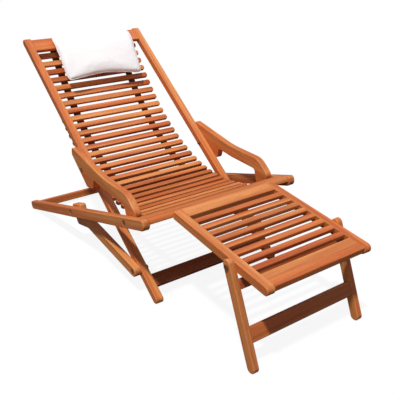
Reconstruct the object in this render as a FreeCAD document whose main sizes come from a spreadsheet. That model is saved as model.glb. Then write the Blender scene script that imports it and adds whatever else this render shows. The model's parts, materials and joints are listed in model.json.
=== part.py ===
import FreeCAD, Part
import Sketcher
import math
import os

# Steamer deck chair in oiled hardwood, in millimetres, +X towards the footrest, +Z up.
# The origin is on the ground under the middle of the chair.

V = FreeCAD.Vector
Y_AXIS = V(0, 1, 0)

doc = FreeCAD.newDocument("deck_chair")

# Driving dimensions
SIZES = {
    # Whole chair
    "ground_shift": 677.139,
    "face_gap": 0.3,
    "eased_edge": 2,
    "arm_eased_edge": 3,
    "foot_flat": 0.6,
    "tenon_length": 12,
    # Seat rails, which run back down to the ground as the rear legs
    "seat_rail_length": 990,
    "seat_rail_depth": 34,
    "seat_rail_thick": 24,
    "seat_rail_inner": 276,
    "seat_slope": 17.1,
    "seat_heel_round": 12,
    "seat_nose_round": 11,
    "seat_chin_round": 18,
    "arm_hinge_run": 866,
    "hook_bolt_run": 438,
    "hook_bolt_rise": 20,
    # Back rails, which run down to the ground as the front legs
    "back_rail_length": 1152,
    "back_rail_depth": 26,
    "back_rail_thick": 27,
    "back_rail_inner": 224.2,
    "back_slope": 36.6,
    "back_foot_reach": 906.7,
    "back_hinge_run": 616.3,
    "link_hinge_run": 1024.5,
    # Armrests and locking links share one layer between the two frames
    "arm_inner": 251.6,
    "arm_thick": 24,
    "link_shank_depth": 36,
    "link_slope": 7.9,
    "hook_pitch": 15,
    "hook_slot_low": 8,
    "hook_slot_high": 17,
    "hook_seat_radius": 4.4,
    "hook_slot_exit": 500,
    # Slats and the two straps that they hang on
    "slat_length": 430,
    "slat_width": 20,
    "slat_thick": 14,
    "slat_pitch": 34.43,
    "slat_end_round": 7,
    "slat_eased_edge": 1.5,
    "strap_centre": 143,
    "strap_width": 28,
    "strap_thick": 2.5,
    "strap_reach": 7.2,
    # Footrest
    "rest_rail_length": 428,
    "rest_rail_depth": 28,
    "rest_rail_thick": 27,
    "rest_rail_inner": 168,
    "rest_slope": 6.7,
    "rest_start_reach": 941,
    "rest_start_height": 324.7,
    "rest_slat_width": 20.5,
    "rest_slat_drop": 0.5,
    "rest_tongue_length": 8,
    "rest_tongue_inset": 3,
    "leg_hinge_run": 286.6,
    "pin_radius": 4,
    "pin_reach": 15,
    "pin_grip": 20,
    "pin_spread": 110,
    "pin_height": 307,
    # Footrest legs
    "leg_depth": 30,
    "leg_thick": 20,
    "leg_inner": 195.4,
    "leg_slope": 67.3,
    "leg_top_reach": 1216,
    "leg_top_height": 297,
    # Bolts and nuts
    "bolt_radius": 4,
    "bolt_play": 0.05,
    "bolt_head_radius": 8.5,
    "bolt_head_thick": 3.4,
    "bolt_sink": 4,
    "bolt_sink_radius": 9.2,
    "nut_corner_radius": 6.9,
    "nut_thick": 5.5,
    "insert_radius": 6,
    "insert_length": 17,
    "screw_head_radius": 6,
    "screw_head_thick": 1.8,
    "screw_radius": 2,
    "screw_length": 12,
    # Head pillow
    "pillow_width": 338,
    "pillow_offset": 14,
    "pillow_skew": -2.5,
    "pillow_tip_fill": 0.16,
}

sheet = doc.addObject("Spreadsheet::Sheet", "sizes")
for row, (alias, value) in enumerate(SIZES.items(), 1):
    sheet.set(f"A{row}", alias)
    sheet.set(f"B{row}", str(value))
    sheet.setAlias(f"B{row}", alias)
doc.recompute()

nodes = []


def size(alias):
    """Value of one cell of the sheet."""
    return float(sheet.get(alias))


def number(owner, expression):
    """Value of an expression that reads the sheet."""
    return float(owner.evalExpression(expression))


# Frames in which the pieces are drawn: each has its run along X and its rise along Z

def frame(reach, height, slope):
    """Place of a frame whose run slopes down to the front by the angle given."""
    base = V(reach - size("ground_shift"), 0, height - size("foot_flat"))
    return FreeCAD.Placement(base, FreeCAD.Rotation(Y_AXIS, slope))


def seat_frame_place():
    slope = math.radians(size("seat_slope"))
    heel = size("seat_heel_round")
    height = heel - heel * (math.sin(slope) + math.cos(slope))
    return frame(0, height, -size("seat_slope"))


def back_frame_place():
    slope = math.radians(size("back_slope"))
    half = size("back_rail_depth") / 2
    run = size("back_rail_length") - half
    reach = size("back_foot_reach") - run * math.cos(slope) + half * math.sin(slope)
    height = half + run * math.sin(slope) + half * math.cos(slope)
    return frame(reach, height, size("back_slope"))


SEAT = seat_frame_place()
BACK = back_frame_place()
REST = frame(size("rest_start_reach"), size("rest_start_height"), size("rest_slope"))
LEG = frame(size("leg_top_reach"), size("leg_top_height"), size("leg_slope"))
LEVEL = frame(0, size("foot_flat"), 0)


def point(place, run, rise):
    """Point of the middle plane, given in a frame."""
    return place.multVec(V(run, 0, rise))


ARM_FRONT_HINGE = point(SEAT, size("arm_hinge_run"), size("seat_rail_depth") / 2)
ARM_REAR_HINGE = point(BACK, size("back_hinge_run"), -size("back_rail_depth") / 2)
LINK_HINGE = point(BACK, size("link_hinge_run"), -size("back_rail_depth") / 2)
HOOK_BOLT = point(SEAT, size("hook_bolt_run"), size("hook_bolt_rise"))
LEG_HINGE = point(REST, size("leg_hinge_run"), -size("rest_rail_depth") / 2)


# Sketch helpers

def origin_plane(body, role):
    for feature in body.Origin.OriginFeatures:
        if feature.Role == role:
            return feature
    raise RuntimeError("no plane " + role)


def new_body(label, place):
    body = doc.addObject("PartDesign::Body", label)
    body.Label = label
    body.Placement = place
    return body


def side_sketch(body, name, face):
    """Sketch parallel to the side view, at the Y that the expression gives."""
    sketch = body.newObject("Sketcher::SketchObject", name)
    sketch.AttachmentSupport = [(origin_plane(body, "XZ_Plane"), "")]
    sketch.MapMode = "FlatFace"
    sketch.setExpression("AttachmentOffset.Base.z", f"-({face})")
    return sketch


def rounded(corners):
    """Closed outline of lines and tangent arcs through corners of (x, z, radius)."""
    pieces = []
    starts = []
    ends = []
    count = len(corners)
    for index, (x, z, radius) in enumerate(corners):
        corner = V(x, z, 0)
        before = V(*corners[index - 1][:2], 0) - corner
        after = V(*corners[(index + 1) % count][:2], 0) - corner
        before.normalize()
        after.normalize()
        half = before.getAngle(after) / 2
        if radius <= 0:
            starts.append(corner)
            ends.append(corner)
            pieces.append(None)
            continue
        reach = radius / math.tan(half)
        middle = before + after
        middle.normalize()
        centre = corner + middle * (radius / math.sin(half))
        first = corner + before * reach
        last = corner + after * reach
        starts.append(first)
        ends.append(last)
        pieces.append(Part.Arc(first, centre - middle * radius, last))
    outline = []
    for index in range(count):
        if pieces[index]:
            outline.append(pieces[index])
        following = (index + 1) % count
        if ends[index].distanceToPoint(starts[following]) > 1e-4:
            outline.append(Part.LineSegment(ends[index], starts[following]))
    return outline


def draw_outline(sketch, corners):
    sketch.addGeometry(rounded(corners), False)


def draw_box(sketch, left, low, right, high):
    """Rectangle whose four sides are placed by expressions."""
    x0 = number(sketch, left)
    z0 = number(sketch, low)
    x1 = number(sketch, right)
    z1 = number(sketch, high)
    corners = [V(x0, z0, 0), V(x1, z0, 0), V(x1, z1, 0), V(x0, z1, 0)]
    for index in range(4):
        sketch.addGeometry(Part.LineSegment(corners[index], corners[(index + 1) % 4]), False)
    for index in range(4):
        sketch.addConstraint(Sketcher.Constraint("Coincident", index, 2, (index + 1) % 4, 1))
    for index, kind in enumerate(("Horizontal", "Vertical", "Horizontal", "Vertical")):
        sketch.addConstraint(Sketcher.Constraint(kind, index))
    limits = (
        ("DistanceX", 0, x0, left),
        ("DistanceY", 0, z0, low),
        ("DistanceX", 2, x1, right),
        ("DistanceY", 2, z1, high),
    )
    for kind, line, value, expression in limits:
        index = sketch.addConstraint(Sketcher.Constraint(kind, -1, 1, line, 1, value))
        sketch.setExpression(f"Constraints[{index}]", expression)


def draw_bar(sketch, length, depth):
    """Straight bar with full-round ends, hanging below the run line."""
    long = number(sketch, length)
    half = number(sketch, depth) / 2
    low = -2 * half
    sketch.addGeometry([
        Part.LineSegment(V(half, low, 0), V(long - half, low, 0)),
        Part.Arc(V(long - half, low, 0), V(long, -half, 0), V(long - half, 0, 0)),
        Part.LineSegment(V(long - half, 0, 0), V(half, 0, 0)),
        Part.Arc(V(half, 0, 0), V(0, -half, 0), V(half, low, 0)),
    ], False)
    joints = ((0, 2, 1, 1), (1, 2, 2, 1), (2, 2, 3, 1), (3, 2, 0, 1))
    for first, first_end, second, second_end in joints:
        sketch.addConstraint(Sketcher.Constraint("Tangent", first, first_end, second, second_end))
    sketch.addConstraint(Sketcher.Constraint("Horizontal", 0))
    places = (
        ("Radius", (3, half), f"{depth} / 2"),
        ("DistanceX", (-1, 1, 3, 3, half), f"{depth} / 2"),
        ("DistanceY", (3, 3, -1, 1, half), f"{depth} / 2"),
        ("DistanceX", (-1, 1, 1, 3, long - half), f"{length} - {depth} / 2"),
    )
    for kind, where, expression in places:
        index = sketch.addConstraint(Sketcher.Constraint(kind, *where))
        sketch.setExpression(f"Constraints[{index}]", expression)


def draw_circle(sketch, x, z, radius):
    """Hole whose radius is bound to the sheet."""
    value = number(sketch, radius)
    circle = sketch.addGeometry(Part.Circle(V(x, z, 0), V(0, 0, 1), value), False)
    index = sketch.addConstraint(Sketcher.Constraint("Radius", circle, value))
    sketch.setExpression(f"Constraints[{index}]", radius)


# Body helpers

def pad(body, name, high_face, thick, draw):
    """Plate drawn in the side view, from the face with the higher Y down by its thickness."""
    sketch = side_sketch(body, name + "_outline", high_face)
    draw(sketch)
    plate = body.newObject("PartDesign::Pad", name)
    plate.Profile = sketch
    plate.setExpression("Length", thick)
    doc.recompute()
    return plate


def cut(body, name, face, towards, draw, depth=None):
    """Pocket from a side face towards +Y or -Y, right through when no depth is given."""
    sketch = side_sketch(body, name + "_outline", face)
    draw(sketch)
    doc.recompute()
    before = body.Shape.Volume
    pocket = body.newObject("PartDesign::Pocket", name)
    pocket.Profile = sketch
    pocket.Reversed = towards < 0
    if depth is None:
        pocket.Type = "ThroughAll"
    else:
        pocket.setExpression("Length", depth)
    doc.recompute()
    if not body.Shape.Volume < before - 1:
        raise RuntimeError(f"{body.Label}: {name} cuts nothing")
    return pocket


def rim_edges(feature, thickness):
    """Names of the edges that run round the two flat faces of a plate."""
    rim = []
    for index, edge in enumerate(feature.Shape.Edges, 1):
        if getattr(edge.BoundBox, thickness) < 0.01:
            rim.append(f"Edge{index}")
    return rim


def ease(body, feature, width="sizes.eased_edge", thickness="YLength"):
    """Chamfer the edges of a plate's two flat faces."""
    chamfer = body.newObject("PartDesign::Chamfer", feature.Name + "_eased")
    chamfer.Base = (feature, rim_edges(feature, thickness))
    chamfer.setExpression("Size", width)
    doc.recompute()


def round_over(body, feature, radius):
    """Round the edges of a plate's two flat faces."""
    fillet = body.newObject("PartDesign::Fillet", feature.Name + "_rounded")
    fillet.Base = (feature, rim_edges(feature, "YLength"))
    fillet.setExpression("Radius", radius)
    doc.recompute()


def keep(item):
    """Hand in one sub-part."""
    nodes.append(item)
    return item


def faces(side, inner, thick):
    """Expressions for the higher, outer and inner face of a plate, and the way out of it."""
    near = f"sizes.{inner}"
    far = f"sizes.{inner} + sizes.{thick}"
    if side > 0:
        return far, far, near
    return f"-{near}", f"-({far})", f"-{near}"


SIDES = (("left", 1), ("right", -1))


def flatten_foot(body, side, outer, reach):
    """Small flat on which a rounded foot stands, as deep as the cell says."""
    half = size("leg_depth")
    centre = reach - size("ground_shift")
    below = []
    for across, height in ((-half, -half), (half, -half), (half, 0), (-half, 0)):
        below.append((*local(body.Placement, V(centre + across, 0, height)), 0))
    cut(body, "foot_flat", outer, -side, lambda sketch: draw_outline(sketch, below))


def drill(body, name, side, outer, where, radius):
    """Hole right through a plate, from its outer face."""
    cut(body, name, outer, -side, lambda sketch: draw_circle(sketch, *where, radius))


def sink(body, name, side, outer, where):
    """Recess in the outer face for a bolt head."""
    cut(body, name, outer, -side,
        lambda sketch: draw_circle(sketch, *where, "sizes.bolt_sink_radius"), "sizes.bolt_sink")


def local(place, target):
    """Run and rise of a point of the chair in a frame."""
    inside = place.inverse().multVec(target)
    return inside.x, inside.z


def bore(body, name, radius, depth, place):
    """Round hole whose axis is the Z axis of a place on the chair."""
    doc.recompute()
    before = body.Shape.Volume
    hole = body.newObject("PartDesign::SubtractiveCylinder", name)
    hole.setExpression("Radius", radius)
    hole.setExpression("Height", depth)
    hole.Placement = body.Placement.inverse().multiply(place)
    doc.recompute()
    if not body.Shape.Volume < before - 1:
        raise RuntimeError(f"{body.Label}: {name} cuts nothing")


TIGHT = "sizes.bolt_radius"
LOOSE = "sizes.bolt_radius + sizes.bolt_play"

# Cross boards: frame, inner face of the rails, run from and to, rise from and to
BOARDS = {
    "rear_stretcher": (SEAT, "seat_rail_inner", (20, 50), (2, 30)),
    "seat_front_board": (SEAT, "seat_rail_inner", (925, 983), (14, 34)),
    "head_board": (BACK, "back_rail_inner", (12, 68.5), (-15, 0)),
    "back_lower_stretcher": (BACK, "back_rail_inner", (1055, 1100), (-22, -4)),
    "footrest_rear_board": (REST, "rest_rail_inner", (0.5, 45), (-24, 0)),
    "footrest_front_board": (REST, "rest_rail_inner", (365, 424.5), (-21, -1)),
    "leg_crossbar": (LEG, "leg_inner", (60.7, 88.7), (0, 14)),
    "leg_stretcher": (LEG, "leg_inner", (195, 238), (-4, 14)),
}
TENON_INSET = {
    "rear_stretcher": (5, 6),
    "seat_front_board": (6, 5),
    "head_board": (8, 4),
    "back_lower_stretcher": (6, 4),
    "footrest_rear_board": (6, 5),
    "footrest_front_board": (6, 4),
    "leg_crossbar": (5, 4),
    "leg_stretcher": (7, 5),
}


def tenon_box(name):
    """Left, low, right and high of the tenon of a board, as expressions."""
    runs, rises = BOARDS[name][2:]
    along, across = TENON_INSET[name]
    return (str(runs[0] + along), str(rises[0] + across),
            str(runs[1] - along), str(rises[1] - across))


def mortise(body, name, side, inner_face):
    """Blind mortise in the inner face of a rail."""
    cut(body, "mortise_" + name, inner_face, side,
        lambda sketch: draw_box(sketch, *tenon_box(name)), "sizes.tenon_length")


def cross_board(name, rounds=(3, 3, 3, 3)):
    """Board across the chair with a tenon at each end."""
    place, inner, runs, rises = BOARDS[name]
    body = new_body(name, place)
    corners = [
        (runs[0], rises[0], rounds[0]),
        (runs[1], rises[0], rounds[1]),
        (runs[1], rises[1], rounds[2]),
        (runs[0], rises[1], rounds[3]),
    ]
    pad(body, "board", f"sizes.{inner}", f"2 * sizes.{inner}",
        lambda sketch: draw_outline(sketch, corners))
    pad(body, "tenons", f"sizes.{inner} + sizes.tenon_length",
        f"2 * (sizes.{inner} + sizes.tenon_length)",
        lambda sketch: draw_box(sketch, *tenon_box(name)))
    return keep(body)


# Seat rails and the boards between them
def seat_rail(name, side):
    high, outer, inner = faces(side, "seat_rail_inner", "seat_rail_thick")
    body = new_body(f"seat_rail_{name}", SEAT)
    long = size("seat_rail_length")
    depth = size("seat_rail_depth")
    corners = [
        (0, 0, size("seat_heel_round")),
        (long, 0, size("seat_chin_round")),
        (long, depth, size("seat_nose_round")),
        (0, depth, size("seat_nose_round")),
    ]
    plate = pad(body, "rail", high, "sizes.seat_rail_thick",
                lambda sketch: draw_outline(sketch, corners))
    ease(body, plate)
    for board in ("rear_stretcher", "seat_front_board"):
        mortise(body, board, side, inner)
    for label, target in (("arm", ARM_FRONT_HINGE), ("hook", HOOK_BOLT)):
        where = local(SEAT, target)
        drill(body, label + "_hole", side, outer, where, TIGHT)
        sink(body, label + "_recess", side, outer, where)
    flatten_foot(body, side, outer, size("seat_heel_round"))
    keep(body)


# Back rails
def back_rail(name, side):
    high, outer, inner = faces(side, "back_rail_inner", "back_rail_thick")
    body = new_body(f"back_rail_{name}", BACK)
    plate = pad(body, "rail", high, "sizes.back_rail_thick",
                lambda sketch: draw_bar(sketch, "sizes.back_rail_length", "sizes.back_rail_depth"))
    ease(body, plate)
    for board in ("head_board", "back_lower_stretcher"):
        mortise(body, board, side, inner)
    for label, target in (("arm", ARM_REAR_HINGE), ("link", LINK_HINGE)):
        drill(body, label + "_hole", side, outer, local(BACK, target), TIGHT)
    flatten_foot(body, side, outer, size("back_foot_reach"))
    keep(body)


# Outline of an armrest in the side view: reach, height and corner radius
ARM_OUTLINE = (
    (418, 389, 8),
    (640, 349.5, 350),
    (799, 346, 70),
    (853, 303, 24),
    (844, 247.5, 19),
    (801, 247.5, 19),
    (783, 304, 12),
    (650, 309.5, 300),
    (577, 318, 10),
    (566, 280, 12),
    (522, 274, 14),
    (414, 362, 10),
)


def armrest(name, side):
    high, outer, inner = faces(side, "arm_inner", "arm_thick")
    body = new_body(f"armrest_{name}", LEVEL)
    plate = pad(body, "board", high, "sizes.arm_thick",
                lambda sketch: draw_outline(sketch, ARM_OUTLINE))
    round_over(body, plate, "sizes.arm_eased_edge")
    for label, target in (("front", ARM_FRONT_HINGE), ("rear", ARM_REAR_HINGE)):
        drill(body, label + "_hole", side, outer, local(LEVEL, target), LOOSE)
    sink(body, "rear_recess", side, outer, local(LEVEL, ARM_REAR_HINGE))
    keep(body)


# Locking links: a shank with a hook head that drops over a bolt in the seat rail
LINK = FreeCAD.Placement(LINK_HINGE, FreeCAD.Rotation(Y_AXIS, size("link_slope")))
HEAD_OUTLINE = (
    (482, -35, 10),
    (424, -35, 14),
    (400, 42, 12),
    (478, 44, 8),
)
HOOK_STEPS = (0, 1, 2)


def on_link(run, rise):
    """Point of the seat rail's frame in the link's own frame."""
    return local(LINK, point(SEAT, run, rise))


def lock_link(name, side):
    high, outer, inner = faces(side, "arm_inner", "arm_thick")
    body = new_body(f"lock_link_{name}", LINK)
    half = size("link_shank_depth") / 2
    head = []
    for run, rise, radius in HEAD_OUTLINE:
        head.append((*on_link(run, rise), radius))
    low_front, low_rear, high_rear, high_front = head
    share = (half - low_front[1]) / (high_front[1] - low_front[1])
    throat = low_front[0] + share * (high_front[0] - low_front[0])
    corners = [
        (half, -half, half - 0.1),
        (low_front[0] + 30, -half, 40),
        low_rear,
        high_rear,
        high_front,
        (throat, half, 4),
        (half, half, half - 0.1),
    ]
    plate = pad(body, "link", high, "sizes.arm_thick",
                lambda sketch: draw_outline(sketch, corners))
    ease(body, plate)
    low = size("hook_slot_low")
    top = size("hook_slot_high")
    reach = size("hook_seat_radius")
    start = size("hook_bolt_run") - reach - 1
    way_out = size("hook_slot_exit")
    slot = [
        (*on_link(start, low), 3),
        (*on_link(way_out, low), 0),
        (*on_link(way_out, top), 0),
        (*on_link(start, top), 3),
    ]
    cut(body, "slot", outer, -side, lambda sketch: draw_outline(sketch, slot))
    for step in HOOK_STEPS:
        middle = size("hook_bolt_run") + step * size("hook_pitch")
        crest = size("hook_bolt_rise") + reach
        notch = [
            (*on_link(middle - reach, top - 3), 0),
            (*on_link(middle + reach, top - 3), 0),
            (*on_link(middle + reach, crest), reach - 0.05),
            (*on_link(middle - reach, crest), reach - 0.05),
        ]
        cut(body, f"notch_{step}", outer, -side,
            lambda sketch, outline=notch: draw_outline(sketch, outline))
    drill(body, "hinge_hole", side, outer, (0, 0), LOOSE)
    sink(body, "hinge_recess", side, outer, (0, 0))
    keep(body)


# Slats hang on a curve, given by the reach and height of points of its top face
SLING_POINTS = (
    (22, 661), (42, 632), (102, 554), (197, 448), (304, 358), (425, 289), (527, 253),
    (599, 242), (666, 240), (770, 255), (872, 283), (905, 294),
)
SLING_SPLIT = 7
BACK_SLATS = 21
SEAT_SLATS = 8


def sling_curve():
    curve = Part.BSplineCurve()
    curve.interpolate([point(LEVEL, reach, height) for reach, height in SLING_POINTS])
    return curve


def slat_places(first, count):
    """Places of slats counted from the split, negative towards the head."""
    curve = sling_curve()
    split = curve.parameter(point(LEVEL, *SLING_POINTS[SLING_SPLIT]))
    offset = curve.length(curve.FirstParameter, split)
    places = []
    for index in range(first, first + count):
        run = offset + (index + 0.5) * size("slat_pitch")
        at = curve.parameterAtDistance(run, curve.FirstParameter)
        tangent = curve.tangent(at)[0]
        pitch = -math.degrees(math.atan2(tangent.z, tangent.x))
        places.append(FreeCAD.Placement(curve.value(at), FreeCAD.Rotation(Y_AXIS, pitch)))
    return places


def slat_blank():
    """One slat with its top face on the ground plane, its corners round in plan."""
    body = new_body("slat", FreeCAD.Placement())
    sketch = body.newObject("Sketcher::SketchObject", "slat_plan")
    sketch.AttachmentSupport = [(origin_plane(body, "XY_Plane"), "")]
    sketch.MapMode = "FlatFace"
    draw_box(sketch, "-sizes.slat_width / 2", "-sizes.slat_length / 2",
             "sizes.slat_width / 2", "sizes.slat_length / 2")
    plate = body.newObject("PartDesign::Pad", "slat_board")
    plate.Profile = sketch
    plate.Reversed = True
    plate.setExpression("Length", "sizes.slat_thick")
    doc.recompute()
    upright = []
    for index, edge in enumerate(plate.Shape.Edges, 1):
        if edge.BoundBox.ZLength > 0.01:
            upright.append(f"Edge{index}")
    ends = body.newObject("PartDesign::Fillet", "slat_ends")
    ends.Base = (plate, upright)
    ends.setExpression("Radius", "sizes.slat_end_round")
    doc.recompute()
    ease(body, ends, "sizes.slat_eased_edge", "ZLength")
    return body


def slats(label, blank, places):
    """Slats of one half of the sling, as separate solids in one node."""
    shapes = []
    for place in places:
        shape = blank.Shape.copy()
        shape.Placement = place
        shapes.append(shape)
    item = doc.addObject("Part::Feature", label)
    item.Label = label
    item.Shape = Part.makeCompound(shapes)
    keep(item)


def together(label, pieces):
    """Like pieces that share one node, as separate solids."""
    item = doc.addObject("Part::Compound", label)
    item.Label = label
    item.Links = pieces
    keep(item)


# Straps: flat webbing under the slats, screwed to a board at one end

def offset_line(points, distance):
    """Line of points moved sideways, mitred at its corners."""
    moved = []
    for index, here in enumerate(points):
        ways = []
        if index > 0:
            ways.append((here - points[index - 1]).normalize())
        if index < len(points) - 1:
            ways.append((points[index + 1] - here).normalize())
        mean = V(0, 0, 0)
        for way in ways:
            mean = mean + way
        mean.normalize()
        normal = V(mean.z, 0, -mean.x)
        stretch = distance / max(0.3, math.cos(mean.getAngle(ways[0])))
        moved.append(here + normal * stretch)
    return moved


def strap_line(places):
    """Points along the underside of the slats, one at each edge of each slat."""
    half = size("slat_width") / 2
    points = []
    for place in places:
        for run in (-half, half):
            points.append(place.multVec(V(run, 0, -size("slat_thick"))))
    return points


def strap(label, side, points):
    """Ribbon below a line of points."""
    body = new_body(label, FreeCAD.Placement())
    middle = f"{side} * sizes.strap_centre"
    lower = offset_line(points, size("strap_thick"))
    ring = points + lower[::-1]
    corners = [(spot.x, spot.z, 0) for spot in ring]
    pad(body, "webbing", f"{middle} + sizes.strap_width / 2", "sizes.strap_width",
        lambda sketch: draw_outline(sketch, corners))
    return keep(body)


def reach_beyond(points, distance):
    """End of a line carried on by a distance."""
    way = (points[-1] - points[-2]).normalize()
    return points[-1] + way * distance


# Footrest rails and the slats let into them, given by the runs of their middles
REST_SLATS = (75, 113, 148.5, 184, 220.5, 259, 299, 338)


def tongue_box(middle):
    """Left, low, right and high of the tongue of a footrest slat."""
    half = "(sizes.rest_slat_width / 2 - sizes.rest_tongue_inset)"
    return (f"{middle} - {half}", "sizes.rest_tongue_inset - sizes.slat_thick",
            f"{middle} + {half}", "-sizes.rest_slat_drop - sizes.rest_tongue_inset")


def rest_rail(name, side):
    high, outer, inner = faces(side, "rest_rail_inner", "rest_rail_thick")
    body = new_body(f"footrest_rail_{name}", REST)
    long = size("rest_rail_length")
    depth = size("rest_rail_depth")
    corners = [
        (0, -depth, 4),
        (long, -depth, depth / 2 - 0.1),
        (long, 0, depth / 2 - 0.1),
        (0, 0, 4),
    ]
    plate = pad(body, "rail", high, "sizes.rest_rail_thick",
                lambda sketch: draw_outline(sketch, corners))
    ease(body, plate)
    for board in ("footrest_rear_board", "footrest_front_board"):
        mortise(body, board, side, inner)
    for index, middle in enumerate(REST_SLATS):
        cut(body, f"slat_mortise_{index}", inner, side,
            lambda sketch, at=middle: draw_box(sketch, *tongue_box(at)), "sizes.rest_tongue_length")
    cut(body, "insert_hole", outer, -side,
        lambda sketch: draw_circle(sketch, *local(REST, LEG_HINGE), "sizes.insert_radius"),
        "sizes.insert_length")
    keep(body)


def rest_slats():
    """Slats between the footrest rails, with a tongue at each end."""
    half = size("rest_slat_width") / 2
    low = -size("slat_thick")
    top = -size("rest_slat_drop")
    corner = 2.5
    boards = []
    for index, middle in enumerate(REST_SLATS):
        body = new_body(f"rest_slat_{index}", REST)
        corners = [
            (middle - half, low, corner),
            (middle + half, low, corner),
            (middle + half, top, corner),
            (middle - half, top, corner),
        ]
        pad(body, f"rest_slat_{index}_board", "sizes.rest_rail_inner", "2 * sizes.rest_rail_inner",
            lambda sketch: draw_outline(sketch, corners))
        pad(body, f"rest_slat_{index}_tongues", "sizes.rest_rail_inner + sizes.rest_tongue_length",
            "2 * (sizes.rest_rail_inner + sizes.rest_tongue_length)",
            lambda sketch: draw_box(sketch, *tongue_box(middle)))
        boards.append(body)
    together("footrest_slats", boards)


# Footrest legs
def rest_leg(name, side):
    high, outer, inner = faces(side, "leg_inner", "leg_thick")
    body = new_body(f"footrest_leg_{name}", leg_frame())
    plate = pad(body, "leg", high, "sizes.leg_thick",
                lambda sketch: draw_bar(sketch, str(leg_length()), "sizes.leg_depth"))
    ease(body, plate)
    for board in ("leg_crossbar", "leg_stretcher"):
        shifted_mortise(body, board, side, inner)
    drill(body, "hinge_hole", side, outer, local(leg_frame(), LEG_HINGE), LOOSE)
    foot = point(LEG, leg_length() - size("leg_depth") / 2, 0)
    flatten_foot(body, side, outer, foot.x + size("ground_shift"))
    keep(body)


def leg_length():
    """Length that sets the rounded foot on the ground."""
    slope = math.radians(size("leg_slope"))
    half = size("leg_depth") / 2
    return (size("leg_top_height") - half) / math.sin(slope) + half


def leg_frame():
    """The leg is drawn below its run line, so its frame is half a depth above its axis."""
    shift = FreeCAD.Placement(V(0, 0, size("leg_depth") / 2), FreeCAD.Rotation())
    return LEG.multiply(shift)


def shifted_mortise(body, name, side, inner_face):
    left, low, right, high = tenon_box(name)
    drop = "- sizes.leg_depth / 2"
    cut(body, "mortise_" + name, inner_face, side,
        lambda sketch: draw_box(sketch, left, low + drop, right, high + drop), "sizes.tenon_length")


# Bolts, nuts, pins and screws

def rod(name, radius, start, end, centre, side):
    """Cylinder along Y, between two distances from the middle plane."""
    item = doc.addObject("Part::Cylinder", name)
    item.setExpression("Radius", radius)
    item.setExpression("Height", f"({end}) - ({start})")
    item.Placement = FreeCAD.Placement(centre, FreeCAD.Rotation(V(1, 0, 0), -90 * side))
    item.setExpression("Placement.Base.y", f"{side} * ({start})")
    return item


def hex_nut(name, start, centre, side):
    """Nut along Y with a bore for the bolt."""
    prism = doc.addObject("Part::Prism", name + "_hexagon")
    prism.Polygon = 6
    prism.setExpression("Circumradius", "sizes.nut_corner_radius")
    prism.setExpression("Height", "sizes.nut_thick")
    prism.Placement = FreeCAD.Placement(centre, FreeCAD.Rotation(V(1, 0, 0), -90 * side))
    prism.setExpression("Placement.Base.y", f"{side} * ({start})")
    hole = rod(name + "_hole", "sizes.bolt_radius", f"{start} - 1", f"{start} + sizes.nut_thick + 1",
               centre, side)
    nut = doc.addObject("Part::Cut", name)
    nut.Base = prism
    nut.Tool = hole
    return nut


def insert(name, face, centre, side):
    """Threaded sleeve let into a piece, flush with its outer face."""
    start = f"{face} - sizes.insert_length"
    sleeve = doc.addObject("Part::Cut", name)
    sleeve.Base = rod(name + "_body", "sizes.insert_radius", start, face, centre, side)
    sleeve.Tool = rod(name + "_hole", "sizes.bolt_radius", f"{start} - 1", f"{face} + 1", centre, side)
    return sleeve


def bolt(name, head_start, tip, centre, side):
    """Round-headed bolt, its head outermost."""
    head = rod(name + "_head", "sizes.bolt_head_radius", head_start,
               f"{head_start} + sizes.bolt_head_thick", centre, side)
    shank = rod(name + "_shank", "sizes.bolt_radius", tip, f"{head_start} + 1", centre, side)
    fused = doc.addObject("Part::Fuse", name)
    fused.Base = head
    fused.Tool = shank
    return fused


def pair(label, make):
    """Left and right fastener in one node."""
    together(label, [make(f"{label}_{name}", side) for name, side in SIDES])


def pivot(label, centre, head_start, tip, nut_start):
    pair(label + "_bolts", lambda name, side: bolt(name, head_start, tip, centre, side))
    pair(label + "_nuts", lambda name, side: hex_nut(name, nut_start, centre, side))


def pin_place(side, start):
    """Place of a footrest pin at a reach, its Z axis towards the seat."""
    spot = point(LEVEL, start, size("pin_height"))
    spot.y = side * size("pin_spread")
    return FreeCAD.Placement(spot, FreeCAD.Rotation(Y_AXIS, -90))


def pin_face():
    """Reach at which the pin's axis meets the front face of the seat board."""
    slope = math.radians(size("seat_slope"))
    corner = point(SEAT, BOARDS["seat_front_board"][2][1], 0)
    rise = size("pin_height") - corner.z
    return corner.x - rise * math.tan(slope) + size("ground_shift")


def locating_pins():
    """Two pins in the footrest that slide into bores in the seat's front board."""
    start = size("rest_start_reach") + size("pin_grip")
    length = start - pin_face() + size("pin_reach")
    pins = []
    for name, side in SIDES:
        place = pin_place(side, start)
        bore(rest_board, "pin_bore_" + name, "sizes.pin_radius", "sizes.pin_grip + 5", place)
        bore(seat_board, "pin_bore_" + name, "sizes.pin_radius + sizes.bolt_play",
             f"{length} + 1", place)
        pin = doc.addObject("Part::Cylinder", "footrest_pin_" + name)
        pin.setExpression("Radius", "sizes.pin_radius")
        pin.Height = length
        pin.Placement = place
        pins.append(pin)
    together("footrest_pins", pins)


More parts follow.
